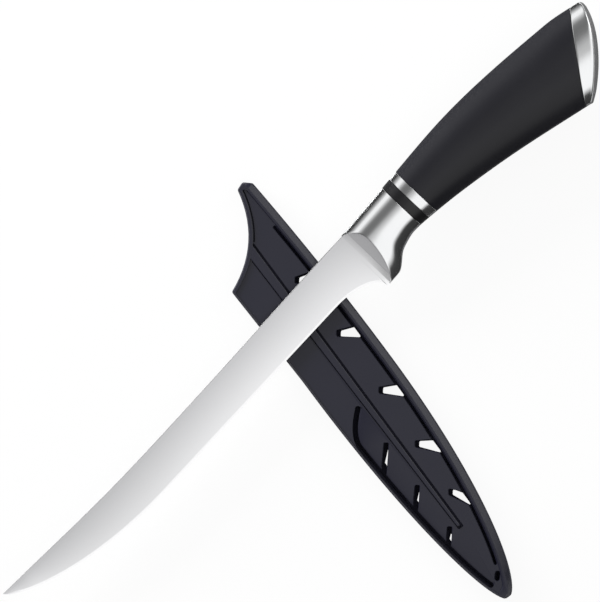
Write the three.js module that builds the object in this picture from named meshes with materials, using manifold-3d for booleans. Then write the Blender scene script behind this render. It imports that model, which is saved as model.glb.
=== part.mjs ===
// A slim kitchen knife lying across its own moulded blade cover.
// Millimetres. +X runs from the handle to the blade tip, +Y from the spine to the cutting edge, +Z is up.
// The knife lies on its side. Its datum is the bolster line, at x = 0, and the spine line, at y = 0.

import * as THREE from 'three';
import Module from 'manifold-3d';
import { mergeVertices } from 'three/addons/utils/BufferGeometryUtils.js';

const wasm = await Module();
wasm.setup();

// Blade
const bladeLength = 203.2;
const bladeThickness = 2.2;
const tipThickness = 0.9;
const bellyDepth = 18.05;
const bellyLength = 75;
const bellyFullness = 0.72;
const waistDepth = 17.3;
const tipRise = 1.2;
const spineDip = 1.25;
const spineDipFromTip = 66;
const spineRiseAtBolster = 0.9;
const heelDepth = 26.6;
const heelFromBolster = 4.5;
const heelSweep = 20.6;
const ricassoLength = 7;
const bevelWidth = 0.9;
const bevelShoulder = 0.7;
const edgeThickness = 0.24;

// Bolster, spacer and collar
const bolsterLength = 22.8;
const bolsterTipThickness = 5.2;
const bolsterFrontThickness = 8;
const bolsterBackThickness = 16.4;
const scoopDepth = 6.9;
const scoopFront = 2.9;
const scoopLow = 8.1;
const scoopFullness = 0.75;
const neckFlat = 3.8;
const guardTip = 2;
const guardRound = 0.2;
const guardWaist = 11;
const guardHollow = 1.8;
const spacerLength = 4.4;
const collarLength = 4.1;
const neckRise = 2.1;
const neckDepth = 21.1;
const collarFlare = 1.1;

// Grip and end cap
const gripLength = 84.6;
const gripThickness = 21;
const gripSwellFromButt = 22;
const humpRise = 3.75;
const humpFromCollar = 29;
const palmFlare = 5.9;
const buttRise = 0.1;
const buttDepth = 38.4;
const buttThickness = 20.2;
const seamLean = 0.764;
const capWall = 5.4;
const capLean = 0.843;
const capDome = 3.7;
const capRun = 18;
const capFall = 3.6;
const capFlare = 4.2;
const sectionSquareness = 2.35;

// Tang and the fastening inside the grip
const tangWidth = 9;
const studDiameter = 5;
const studRun = 12;
const studTail = 1.5;
const washerDiameter = 11;
const washerThickness = 1;
const nutAcrossFlats = 8;
const nutHeight = 4;
const spigotDepth = 7;

// Blade cover
const sheathWall = 2.4;
const bladeRoom = 1;
const bladeSideRoom = 2.1;
const edgeRail = 3.2;
const spineRail = 1.8;
const throatRim = 2.2;
const rimRecess = 0.8;
const edgeBevel = 2.6;
const spineBevel = 1.2;
const bevelHeight = 1.5;
const bevelNarrowsFromHorn = 12.5;
const hornShort = 3.6;
const hornWidth = 6;
const hornChamfer = 2.5;
const throatBack = 33.2;
const throatSag = 5.6;
const noseSetback = 0.7;
const edgeSwellFromTip = 105;
const edgeFullness = 0.564;
const edgeTaper = 3.8;
const spineSwell = 15;
const spineSwellFromTip = 120;
const spineFullness = 0.594;
const spineFlare = 1.7;
const ribWidthAtTip = 1.9;
const ribWidthAtThroat = 4;
const ribFromTip = 36;
const ribOffsetAtTip = -1.4;
const ribOffsetAtThroat = 1.2;
const edgeSlotWidth = 1.5;
const spineSlotWidth = 2.4;
const slotFromTip = 13;
const edgeSlotFromHorn = 22;
const ventCount = 5;
const ventDepth = 7.6;
const ventMouth = 5.6;
const ventEnd = 2.1;
const ventFromTip = 49.75;
const ventFromHorn = 43.85;
const ventLeanAtTip = 1.18;
const ventLeanAtThroat = 0.61;
const ventCrowding = 0.1;
const ventEndSlant = 1.4;
const ventDraft = 1;
const ventDraftAcross = 0.5;
const slitCount = 4;
const slitWidth = 2.2;
const slitEndSlant = 0.55;
const slitMouth = 3.5;
const slitReach = 2.4;
const slitFromTip = 37.9;
const slitPitch = 20.6;
const slitLean = 1.11;
const drainLength = 4;
const drainWidth = 2;
const drainFromTip = 9.8;
const drainOffset = -2.1;

// How the knife lies on the cover
const crossFromBolster = 36.7;
const crossFromSheathTip = 151.1;
const crossAngle = -100.05;

// Clearances
const fitGap = 0.3;
const seamGap = 0.1;
const restGap = 0.4;

// Facets
const ringFacets = 28;
const boreFacets = 24;
const hexSides = 6;
const bellySteps = 9;
const waistSteps = 4;
const heelSteps = 8;
const scoopSteps = 36;
const bolsterSteps = 12;
const gripSteps = 12;
const domeSteps = 5;
const leafSteps = 18;
const throatSteps = 12;
const drainSteps = 4;

// Working allowances
const cutMargin = 10;
const slopeStep = 0.05;
const leanPasses = 12;
const mergeTolerance = 1e-4;

// Derived lengths
const collarBack = -(bolsterLength + spacerLength + collarLength);
const seamX = collarBack - gripLength;
const neckLow = neckDepth - neckRise;
const guardLength = bolsterLength - neckFlat;
const heelAlong = bladeLength - heelFromBolster;
const sweepAlong = heelAlong - heelSweep;
const sheathSlot = bladeThickness + 2 * bladeRoom;
const sheathThickness = 2 * sheathWall + sheathSlot;
const sheathLength = bladeLength - hornShort;
const sheathSpan = heelDepth + spineRiseAtBolster + bladeSideRoom + edgeRail + spineRail;
const edgeSwell = sheathSpan - spineSwell;
const knifeHeight = Math.max(gripThickness / 2, sheathThickness + restGap + bladeThickness / 2);

// Conversions between three.js geometry and solids that can be joined and cut

function toSolid(geometry) {
  const bare = geometry.index ? geometry.toNonIndexed() : geometry.clone();
  bare.deleteAttribute('normal');
  bare.deleteAttribute('uv');
  const merged = mergeVertices(bare, mergeTolerance);
  const vertProperties = new Float32Array(merged.attributes.position.array);
  const triVerts = new Uint32Array(merged.index.array);
  return new wasm.Manifold(new wasm.Mesh({ numProp: 3, vertProperties, triVerts }));
}

function toGeometry(solid) {
  const mesh = solid.getMesh();
  const geometry = new THREE.BufferGeometry();
  geometry.setAttribute('position', new THREE.BufferAttribute(mesh.vertProperties, 3));
  geometry.setIndex(new THREE.BufferAttribute(mesh.triVerts, 1));
  geometry.computeVertexNormals();
  return geometry;
}

// A smooth line through given places that never overshoots them

function smoothLine(places) {
  const sorted = [...places].sort((a, b) => a[0] - b[0]);
  const slopes = sorted.slice(1).map((p, i) => (p[1] - sorted[i][1]) / (p[0] - sorted[i][0]));
  const tangents = sorted.map((p, i) => {
    if (i === 0) return slopes[0];
    if (i === slopes.length) return slopes[i - 1];
    const product = slopes[i - 1] * slopes[i];
    return product <= 0 ? 0 : 2 * product / (slopes[i - 1] + slopes[i]);
  });
  return (x) => {
    let i = sorted.findIndex((p) => p[0] > x) - 1;
    if (i < 0) i = x < sorted[0][0] ? 0 : slopes.length - 1;
    const span = sorted[i + 1][0] - sorted[i][0];
    const u = (x - sorted[i][0]) / span;
    const rise = (3 - 2 * u) * u * u;
    const leave = u * (1 - u) * (1 - u) * span;
    const arrive = u * u * (u - 1) * span;
    const level = THREE.MathUtils.lerp(sorted[i][1], sorted[i + 1][1], rise);
    return level + tangents[i] * leave + tangents[i + 1] * arrive;
  };
}

function steps(from, to, count) {
  return Array.from({ length: count + 1 }, (_, i) => from + (to - from) * i / count);
}

// A closed skin over rings of equal count, with a fan at each end

function loft(rings, frontCentre, backCentre) {
  const count = rings[0].length;
  const centre = (ring) => ring.reduce((sum, p) => sum.add(p), new THREE.Vector3()).divideScalar(count);
  const points = rings.flat();
  const front = points.push(frontCentre ?? centre(rings[0])) - 1;
  const back = points.push(backCentre ?? centre(rings.at(-1))) - 1;
  const triangles = [];
  for (let r = 0; r + 1 < rings.length; r++) {
    for (let j = 0; j < count; j++) {
      const here = r * count + j;
      const next = r * count + (j + 1) % count;
      triangles.push(here, here + count, next + count, here, next + count, next);
    }
  }
  const last = (rings.length - 1) * count;
  for (let j = 0; j < count; j++) {
    const next = (j + 1) % count;
    triangles.push(front, j, next, back, last + next, last + j);
  }
  const geometry = new THREE.BufferGeometry().setFromPoints(points);
  geometry.setIndex(triangles);
  return toSolid(geometry);
}

// The outline moved inwards, each corner by its own distance
function insetOutline(points, insets) {
  return points.map((point, i) => {
    const before = point.clone().sub(points.at(i - 1)).normalize();
    const after = points[(i + 1) % points.length].clone().sub(point).normalize();
    const bisector = new THREE.Vector2(-before.y - after.y, before.x + after.x).normalize();
    const squareness = bisector.y * after.x - bisector.x * after.y;
    return point.clone().addScaledVector(bisector, insets[i] / squareness);
  });
}

// A plate with its upper and lower edges bevelled
function bevelledPlate(outline, thickness, insets, height) {
  const narrow = insetOutline(outline, insets);
  const levels = [[narrow, 0], [outline, height], [outline, thickness - height], [narrow, thickness]];
  const rings = levels.map(([points, z]) => points.map((p) => new THREE.Vector3(p.x, p.y, z)));
  const count = outline.length;
  const triangles = [];
  for (let r = 0; r + 1 < rings.length; r++) {
    for (let j = 0; j < count; j++) {
      const here = r * count + j;
      const next = r * count + (j + 1) % count;
      triangles.push(here, next, next + count, here, next + count, here + count);
    }
  }
  const top = (rings.length - 1) * count;
  for (const [a, b, c] of THREE.ShapeUtils.triangulateShape(narrow, [])) {
    triangles.push(a, c, b, top + a, top + b, top + c);
  }
  const geometry = new THREE.BufferGeometry().setFromPoints(rings.flat());
  geometry.setIndex(triangles);
  return toSolid(geometry);
}

function prism(points, bottom, top) {
  const options = { depth: top - bottom, bevelEnabled: false };
  const geometry = new THREE.ExtrudeGeometry(new THREE.Shape(points), options);
  return toSolid(geometry.translate(0, 0, bottom));
}

function rod(diameter, from, to) {
  const geometry = new THREE.CylinderGeometry(diameter / 2, diameter / 2, to - from, boreFacets);
  return toSolid(geometry.rotateZ(-Math.PI / 2).translate((from + to) / 2, 0, 0));
}

function bar(from, to, width, height) {
  return toSolid(new THREE.BoxGeometry(to - from, width, height).translate((from + to) / 2, 0, 0));
}

function cutAll(solid, cuts) {
  return cuts.reduce((left, cut) => left.subtract(cut), solid);
}

// Handle form: oval sections between a spine line and a lower line

const handleTop = smoothLine([
  [heelFromBolster, -spineRiseAtBolster],
  [-bolsterLength, -neckRise],
  [collarBack - humpFromCollar, -humpRise],
  [seamX, -buttRise],
  [seamX - capRun, capFall - buttRise],
]);
const handleLow = smoothLine([
  [heelFromBolster, heelDepth],
  [-guardTip, heelDepth - guardRound],
  [-guardWaist, neckLow + guardHollow],
  [-guardLength, neckLow],
  [collarBack, neckLow + collarFlare],
  [collarBack - humpFromCollar, neckLow + palmFlare],
  [seamX, buttDepth - buttRise],
  [seamX - capRun, buttDepth - buttRise + capFlare],
]);
const handleHalf = smoothLine([
  [heelFromBolster, bolsterTipThickness / 2],
  [-scoopDepth / 2, bolsterFrontThickness / 2],
  [-bolsterLength, bolsterBackThickness / 2],
  [seamX + gripSwellFromButt, gripThickness / 2],
  [seamX - capWall, buttThickness / 2],
]);

// The handle's centre line, along which the tang runs
const midHeight = (x) => (handleTop(x) + handleLow(x)) / 2;
const neckCentre = new THREE.Vector2(-bolsterLength, midHeight(-bolsterLength));
const seamCentre = new THREE.Vector2(seamX, midHeight(seamX));
const tangLine = seamCentre.clone().sub(neckCentre);
const tangAngle = Math.atan2(tangLine.y, tangLine.x);
const seamAlong = tangLine.length();
const seatAlong = seamAlong - spigotDepth - seamGap - fitGap - studTail - nutHeight - washerThickness;
const tangEnd = seatAlong - studRun;
const counterbore = washerDiameter + 2 * fitGap;

function centreLine(x) {
  return neckCentre.y + (x - neckCentre.x) * tangLine.y / tangLine.x;
}

function powered(value) {
  return Math.sign(value) * Math.abs(value) ** (2 / sectionSquareness);
}

function handlePoint(x, angle) {
  const y = midHeight(x) + (handleLow(x) - handleTop(x)) / 2 * powered(Math.cos(angle));
  return new THREE.Vector3(x, y, handleHalf(x) * powered(Math.sin(angle)));
}

// A ring round the handle, in a plane that crosses the centre line at x and leans forward on the edge side
function handleRing(x, lean) {
  return Array.from({ length: ringFacets }, (_, i) => {
    const angle = 2 * Math.PI * i / ringFacets;
    let point = handlePoint(x, angle);
    for (let pass = 0; pass < leanPasses; pass++) {
      point = handlePoint(x + lean * (point.y - centreLine(x)), angle);
    }
    return point;
  });
}

// Places a solid made along +X on the handle's centre line, which runs back from the bolster
function onCentreLine(solid) {
  return solid.rotate([0, 0, THREE.MathUtils.radToDeg(tangAngle)]).translate([neckCentre.x, neckCentre.y, 0]);
}

// Front of the bolster: a scoop that bends back between the spine and the heel

function scoopLine(ahead) {
  return steps(-spineRiseAtBolster - cutMargin, heelDepth + cutMargin, scoopSteps).map((y) => {
    const half = y < scoopLow ? scoopLow + spineRiseAtBolster : heelDepth - scoopLow;
    const out = Math.min(Math.abs(y - scoopLow) / half, 1);
    return new THREE.Vector2(scoopFront - scoopDepth * (1 - out * out) ** scoopFullness + ahead, y);
  });
}

function scoopRegion(ahead, farX) {
  const line = scoopLine(ahead);
  return [...line, new THREE.Vector2(farX, line.at(-1).y), new THREE.Vector2(farX, line[0].y)];
}

// Blade outline, by distance from the tip

const bladeSpine = smoothLine([
  [0, -tipRise],
  [spineDipFromTip, spineDip],
  [bladeLength, -spineRiseAtBolster],
]);

function bladeEdge(fromTip) {
  if (fromTip < bellyLength) {
    const back = (bellyLength - fromTip) / bellyLength;
    return -tipRise + (bellyDepth + tipRise) * (1 - back * back) ** bellyFullness;
  }
  if (fromTip < sweepAlong) {
    return THREE.MathUtils.mapLinear(fromTip, bellyLength, sweepAlong, bellyDepth, waistDepth);
  }
  const along = Math.min((fromTip - sweepAlong) / heelSweep, 1);
  return waistDepth + (heelDepth - waistDepth) * (1 - Math.sqrt(1 - along * along));
}

function bladeRing(fromTip) {
  const spine = bladeSpine(Math.min(fromTip, bladeLength));
  const edge = bladeEdge(fromTip);
  const unground = THREE.MathUtils.smoothstep(fromTip, bladeLength - heelSweep, bladeLength - ricassoLength);
  const taper = Math.min(fromTip / bladeLength, 1);
  const atSpine = THREE.MathUtils.lerp(tipThickness, bladeThickness, taper) / 2;
  const atShoulder = THREE.MathUtils.lerp(Math.min(bevelShoulder / 2, atSpine), atSpine, unground);
  const atEdge = THREE.MathUtils.lerp(edgeThickness / 2, atSpine, unground);
  const shoulder = Math.max(edge - bevelWidth, (spine + edge) / 2);
  const x = bladeLength - fromTip;
  const upper = [[edge, atEdge], [shoulder, atShoulder], [spine, atSpine]];
  const lower = upper.map(([y, z]) => [y, -z]).reverse();
  return [...upper, ...lower].map(([y, z]) => new THREE.Vector3(x, y, z));
}

function makeBlade() {
  const places = [
    ...steps(0, 1, bellySteps).slice(1).map((u) => bellyLength * u * u),
    ...steps(bellyLength, sweepAlong, waistSteps).slice(1),
    ...steps(0, 1, heelSteps).slice(1).map((u) => sweepAlong + heelSweep * Math.sin(u * Math.PI / 2)),
    heelAlong + scoopDepth + cutMargin,
  ];
  const tip = new THREE.Vector3(bladeLength, -tipRise, 0);
  const body = loft(places.map(bladeRing), tip);
  const behind = prism(scoopRegion(fitGap, -bolsterLength).reverse(), -bladeThickness, bladeThickness);
  const tang = onCentreLine(bar(-bolsterLength, tangEnd, tangWidth, bladeThickness));
  return body.subtract(behind).add(tang);
}

function tangChannel() {
  const room = 2 * fitGap;
  const channel = bar(-bolsterLength - cutMargin, tangEnd + fitGap, tangWidth + room, bladeThickness + room);
  return onCentreLine(channel);
}

function makeBolster() {
  const places = [...steps(heelFromBolster, -guardLength, bolsterSteps), -bolsterLength];
  const body = loft(places.map((x) => handleRing(x, 0)));
  const front = prism(scoopRegion(0, bolsterLength), -bolsterBackThickness, bolsterBackThickness);
  return body.subtract(front).subtract(tangChannel());
}

function makeBand(front, length) {
  return loft([handleRing(front, 0), handleRing(front - length, 0)]).subtract(tangChannel());
}

function makeGrip() {
  const rings = steps(0, 1, gripSteps).map((u) => handleRing(collarBack - gripLength * u, seamLean * u * u));
  const studBore = rod(studDiameter + 2 * fitGap, tangEnd - fitGap, seatAlong + fitGap);
  const nutBore = rod(counterbore, seatAlong, seamAlong + counterbore);
  return cutAll(loft(rings), [tangChannel(), onCentreLine(studBore), onCentreLine(nutBore)]);
}

function makeEndCap() {
  const seam = handleRing(seamX - seamGap * Math.hypot(1, seamLean), seamLean);
  const rim = handleRing(seamX - capWall, capLean);
  const centre = new THREE.Vector3(seamX - capWall, centreLine(seamX - capWall), 0);
  const outward = new THREE.Vector3(-1, capLean, 0).normalize();
  const dome = steps(0, Math.PI / 2, domeSteps).slice(1, -1).map((turn) => rim.map((point) => {
    const rise = capDome * Math.sin(turn) ** 2;
    return point.clone().lerp(centre, 1 - Math.cos(turn)).addScaledVector(outward, rise);
  }));
  const apex = centre.clone().addScaledVector(outward, capDome);
  const spigot = rod(counterbore - 2 * fitGap, seamAlong - spigotDepth, seamAlong + capWall / 2);
  return loft([seam, rim, ...dome], undefined, apex).add(onCentreLine(spigot));
}

function makeStud() {
  const studEnd = seatAlong + washerThickness + nutHeight + studTail;
  return onCentreLine(rod(studDiameter, tangEnd + seamGap, studEnd));
}

function makeWasher() {
  const hole = rod(studDiameter + 2 * fitGap, seatAlong - cutMargin, seatAlong + cutMargin);
  return onCentreLine(rod(washerDiameter, seatAlong + seamGap, seatAlong + washerThickness).subtract(hole));
}

function makeNut() {
  const from = seatAlong + washerThickness + seamGap;
  const height = nutHeight - seamGap;
  const corner = nutAcrossFlats / 2 / Math.cos(Math.PI / hexSides);
  const hexagon = new THREE.CylinderGeometry(corner, corner, height, hexSides);
  const body = toSolid(hexagon.rotateZ(-Math.PI / 2).translate(from + height / 2, 0, 0));
  const hole = rod(studDiameter + 2 * fitGap, seatAlong - cutMargin, seatAlong + nutHeight + cutMargin);
  return onCentreLine(body.subtract(hole));
}

// Blade cover, in its own frame: x from the tip to the throat, y towards the spine side, z up from its back

function leafReach(along, swell, swellAt, fullness) {
  const back = Math.max((swellAt - along) / swellAt, 0);
  return swell * (1 - back * back) ** fullness;
}

function edgeSide(along) {
  const past = Math.max(along - edgeSwellFromTip, 0) / (sheathLength - edgeSwellFromTip);
  return -leafReach(along, edgeSwell, edgeSwellFromTip, edgeFullness) + edgeTaper * past * past;
}

function spineSide(along) {
  const past = Math.max(along - spineSwellFromTip, 0) / (sheathLength - throatBack - spineSwellFromTip);
  return leafReach(along, spineSwell, spineSwellFromTip, spineFullness) + spineFlare * past;
}

// Points along one side, set in from the outline and close together round the tip
function sideLine(side, from, to, inset) {
  const inward = side(edgeSwellFromTip) < 0 ? 1 : -1;
  return steps(Math.sqrt(from), Math.sqrt(to), leafSteps).map((root) => {
    const along = root * root;
    const slope = (side(along + slopeStep) - side(along)) / slopeStep;
    const normal = new THREE.Vector2(-slope, 1).normalize().multiplyScalar(inward * inset);
    return new THREE.Vector2(along, side(along)).add(normal);
  });
}

function throatLine(inset) {
  const horn = new THREE.Vector2(sheathLength - hornChamfer / 2, edgeSide(sheathLength) + hornWidth);
  const corner = new THREE.Vector2(sheathLength - throatBack, spineSide(sheathLength - throatBack));
  const chord = corner.clone().sub(horn);
  const into = new THREE.Vector2(chord.y, -chord.x).normalize().negate();
  return steps(0, 1, throatSteps).map((u) => {
    const sag = 4 * throatSag * u * (1 - u);
    return horn.clone().addScaledVector(chord, u).addScaledVector(into, sag + inset);
  });
}

function sheathOutline() {
  const hornEnd = edgeSide(sheathLength);
  return [
    ...sideLine(edgeSide, noseSetback, sheathLength - hornChamfer, 0),
    new THREE.Vector2(sheathLength, hornEnd + hornChamfer),
    ...throatLine(0),
    ...sideLine(spineSide, noseSetback, sheathLength - throatBack, 0).reverse().slice(1),
  ];
}

// Bevels run wide along the edge side and narrow elsewhere
function sheathBevels(outline) {
  const wideUntil = sheathLength - bevelNarrowsFromHorn;
  return outline.map((p) => (p.y < 0 && p.x < wideUntil ? edgeBevel : spineBevel));
}

// The floor of the front panel, inside the raised rim
function panelOutline() {
  const hornEnd = sheathLength - hornWidth;
  const throat = throatLine(throatRim).filter((p) => p.x < hornEnd && p.y < spineSide(p.x) - spineRail);
  return [
    ...sideLine(edgeSide, edgeRail, hornEnd, edgeRail),
    ...throat,
    ...sideLine(spineSide, edgeRail, throat.at(-1).x, spineRail).reverse(),
  ];
}

// The slot that takes the blade, open at the throat
function bladeSlotOutline() {
  const past = sheathLength + cutMargin;
  return [
    ...sideLine(edgeSide, edgeRail, past, edgeRail),
    ...sideLine(spineSide, edgeRail, past, spineRail).reverse(),
  ];
}

function strip(side, from, to, inset, width) {
  return [...sideLine(side, from, to, inset), ...sideLine(side, from, to, inset + width).reverse()];
}

// A wedge that opens onto the slot beside the edge rail, leans towards the throat and narrows with depth
function ventOutline(i, draft, draftAcross) {
  const share = i / (ventCount - 1);
  const span = sheathLength - ventFromTip - ventFromHorn;
  const end = ventFromTip + span * (share - ventCrowding * share * (1 - share));
  const lean = THREE.MathUtils.lerp(ventLeanAtTip, ventLeanAtThroat, share);
  const mouth = end - lean * ventDepth;
  const outer = edgeSide(mouth) + edgeRail + edgeSlotWidth / 2;
  const inner = edgeSide(end) + edgeRail + ventDepth - draftAcross;
  return [
    new THREE.Vector2(mouth - ventMouth / 2, outer),
    new THREE.Vector2(mouth + ventMouth / 2 - draft, outer),
    new THREE.Vector2(end + ventEnd / 2 - draft, inner - ventEndSlant),
    new THREE.Vector2(end - ventEnd / 2 - draft, inner),
  ];
}

// A narrow notch that opens onto the slot beside the spine rail
function slitOutline(i, draft) {
  const end = slitFromTip + slitPitch * i - draft;
  const outer = spineSide(end) - spineRail - spineSlotWidth / 2;
  const mouth = end - slitLean * (outer - slitReach);
  return [
    new THREE.Vector2(end - slitWidth / 2, slitReach),
    new THREE.Vector2(end + slitWidth / 2, slitReach + slitEndSlant),
    new THREE.Vector2(mouth + slitMouth / 2, outer),
    new THREE.Vector2(mouth - slitMouth / 2, outer),
  ];
}

// A short oblong hole near the tip, along the same lean as the notches
function drainOutline() {
  const half = (drainLength - drainWidth) / 2;
  const path = new THREE.Path();
  path.absarc(half, 0, drainWidth / 2, -Math.PI / 2, Math.PI / 2);
  path.absarc(-half, 0, drainWidth / 2, Math.PI / 2, 3 * Math.PI / 2);
  const turn = -Math.atan2(1, slitLean);
  const centre = new THREE.Vector2(drainFromTip, drainOffset);
  return path.getPoints(drainSteps).map((p) => p.rotateAround(new THREE.Vector2(), turn).add(centre));
}

function ribOutline() {
  return [
    new THREE.Vector2(ribFromTip, ribOffsetAtTip - ribWidthAtTip / 2),
    new THREE.Vector2(sheathLength, ribOffsetAtThroat - ribWidthAtThroat / 2),
    new THREE.Vector2(sheathLength, ribOffsetAtThroat + ribWidthAtThroat / 2),
    new THREE.Vector2(ribFromTip, ribOffsetAtTip + ribWidthAtTip / 2),
  ];
}

function makeSheathHalves() {
  const split = sheathThickness / 2;
  const slotRoof = sheathWall + sheathSlot;
  const above = sheathThickness + cutMargin;
  const edge = sheathOutline();
  const shell = bevelledPlate(edge, sheathThickness, sheathBevels(edge), bevelHeight)
    .subtract(prism(bladeSlotOutline(), sheathWall, slotRoof));
  const each = (count, make) => Array.from({ length: count }, (_, i) => make(i));
  const frontVents = each(ventCount, (i) => prism(ventOutline(i, 0, 0), split, above));
  const backVent = (i) => prism(ventOutline(i, ventDraft, ventDraftAcross), -cutMargin, split);
  const backVents = each(ventCount, backVent);
  const frontSlits = each(slitCount, (i) => prism(slitOutline(i, 0), split, above));
  const backSlits = each(slitCount - 1, (i) => prism(slitOutline(i, ventDraft), -cutMargin, split));
  const panel = prism(panelOutline(), sheathThickness - rimRecess, above)
    .subtract(prism(ribOutline(), sheathWall, above));
  const lastSlit = slitFromTip + slitPitch * (slitCount - 1);
  const slotEnd = lastSlit - slitLean * (spineSide(slitFromTip) - slitReach);
  const edgeSlot = strip(edgeSide, slotFromTip, sheathLength - edgeSlotFromHorn, edgeRail, edgeSlotWidth);
  const spineSlot = strip(spineSide, slotFromTip, slotEnd, spineRail, spineSlotWidth).reverse();
  const slots = [edgeSlot, spineSlot, drainOutline()].map((outline) => prism(outline, split, above));
  const reach = 2 * (sheathLength + cutMargin);
  const slab = new THREE.BoxGeometry(reach, reach, split).translate(0, 0, split / 2);
  const lower = shell.intersect(toSolid(slab));
  const upper = shell.subtract(toSolid(slab));
  return [
    cutAll(upper, [panel, ...slots, ...frontVents, ...frontSlits]),
    cutAll(lower, [...backVents, ...backSlits]),
  ];
}

// Finishes

const finishes = {
  satinSteel: { color: 0xd2d3d6, roughness: 0.34, metalness: 1 },
  polishedSteel: { color: 0xd6d8da, roughness: 0.2, metalness: 1 },
  zincSteel: { color: 0xb4b6ba, roughness: 0.45, metalness: 1 },
  blackGrip: { color: 0x2e2e32, roughness: 0.5, metalness: 0 },
  blackSheath: { color: 0x2f2e35, roughness: 0.4, metalness: 0 },
};

function mesh(name, solid, finish) {
  const made = new THREE.Mesh(toGeometry(solid), new THREE.MeshStandardMaterial(finishes[finish]));
  made.name = name;
  return made;
}

// Assembly

const knife = new THREE.Group();
knife.add(
  mesh('blade', makeBlade(), 'satinSteel'),
  mesh('bolster', makeBolster(), 'polishedSteel'),
  mesh('front_spacer', makeBand(-bolsterLength, spacerLength), 'blackGrip'),
  mesh('collar_ring', makeBand(-bolsterLength - spacerLength, collarLength), 'polishedSteel'),
  mesh('grip', makeGrip(), 'blackGrip'),
  mesh('tang_stud', makeStud(), 'zincSteel'),
  mesh('stud_washer', makeWasher(), 'zincSteel'),
  mesh('stud_nut', makeNut(), 'zincSteel'),
  mesh('end_cap', makeEndCap(), 'polishedSteel'),
);
knife.position.z = knifeHeight;

const sheath = new THREE.Group();
const [frontHalf, backHalf] = makeSheathHalves();
sheath.add(
  mesh('sheath_front_half', frontHalf, 'blackSheath'),
  mesh('sheath_back_half', backHalf, 'blackSheath'),
);
const sheathTurn = THREE.MathUtils.degToRad(crossAngle);
sheath.rotation.z = sheathTurn;
sheath.position.x = crossFromBolster - crossFromSheathTip * Math.cos(sheathTurn);
sheath.position.y = -crossFromSheathTip * Math.sin(sheathTurn);

const part = new THREE.Group();
part.add(knife, sheath);
part.updateMatrixWorld(true);
const extent = new THREE.Box3().setFromObject(part, true);
const middle = extent.getCenter(new THREE.Vector3());
part.position.set(-middle.x, -middle.y, -extent.min.z);
part.updateMatrixWorld(true);

export default part;
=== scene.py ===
# A slim kitchen knife lying across its own moulded blade cover.
# Shapes are made in millimetres, in the knife's and the cover's own frames.
# They are placed in metres at the end.

import math

import bmesh
import bpy
from mathutils import Matrix, Vector


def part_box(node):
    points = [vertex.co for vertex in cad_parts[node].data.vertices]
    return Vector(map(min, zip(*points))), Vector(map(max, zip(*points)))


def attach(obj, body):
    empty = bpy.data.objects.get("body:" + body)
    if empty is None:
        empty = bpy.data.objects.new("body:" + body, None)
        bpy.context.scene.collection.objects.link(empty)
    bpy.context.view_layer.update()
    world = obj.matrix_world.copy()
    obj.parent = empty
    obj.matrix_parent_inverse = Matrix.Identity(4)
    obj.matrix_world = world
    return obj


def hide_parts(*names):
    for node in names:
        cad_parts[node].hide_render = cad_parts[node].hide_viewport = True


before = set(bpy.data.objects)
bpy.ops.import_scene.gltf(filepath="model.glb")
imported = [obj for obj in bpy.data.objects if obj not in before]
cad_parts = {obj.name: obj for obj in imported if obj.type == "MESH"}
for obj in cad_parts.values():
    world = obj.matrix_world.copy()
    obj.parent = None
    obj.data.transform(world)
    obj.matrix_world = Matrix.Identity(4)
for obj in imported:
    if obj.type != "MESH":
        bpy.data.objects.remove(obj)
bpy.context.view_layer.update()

MM = 0.001

# Blade
BLADE_LENGTH = 203.2
BLADE_THICKNESS = 2.2
TIP_THICKNESS = 0.9
BELLY_DEPTH = 18.05
BELLY_LENGTH = 75
BELLY_FULLNESS = 0.72
WAIST_DEPTH = 17.3
TIP_RISE = 1.2
SPINE_DIP = 1.45
SPINE_DIP_FROM_TIP = 72
SPINE_RISE_AT_BOLSTER = 0.9
HEEL_DEPTH = 26.6
HEEL_FROM_BOLSTER = 4.5
HEEL_SWEEP = 20.6
PLUNGE_START = 2.9
PLUNGE_END = 0.6
PLUNGE_LINE = 0.3
BEVEL_WIDTH = 0.8
BEVEL_MOST = 2.4
BEVEL_LEAST = 0.05
BEVEL_SHOULDER = 0.55
SHOULDER_SHARE = 0.6
EDGE_THICKNESS = 0.12
FACE_SLOPE = 0.055
GRIND_CONVEXITY = 0.3
HONED_FROM = 0.992
HONED_FULL = 0.98
DULL_UNTIL = 0.25
POLISHED_FROM = 0.55
SPINE_ROUND = 0.35
SMALL_SHARE = 0.25
TIP_RING = 0.02
HEEL_TONE_LENGTH = 60
LEAST_DEPTH = 0.1

# Bolster, spacer and collar
BOLSTER_LENGTH = 22.8
BOLSTER_TIP_THICKNESS = 10
BOLSTER_FRONT_THICKNESS = 12.5
BOLSTER_BACK_THICKNESS = 16.4
BOLSTER_ROUND = 0.15
SCOOP_DEPTH = 6.9
SCOOP_FRONT = 2.9
SCOOP_LOW = 8.1
SCOOP_FULLNESS = 0.75
NECK_FLAT = 3.8
GUARD_TIP = 2
GUARD_ROUND = 0.2
GUARD_WAIST = 11
GUARD_HOLLOW = 1.8
SPACER_LENGTH = 4.4
COLLAR_LENGTH = 4.1
NECK_RISE = 2.1
NECK_DEPTH = 21.1
COLLAR_FLARE = 1.1
SEAM_ROUND = 0.18

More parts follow.
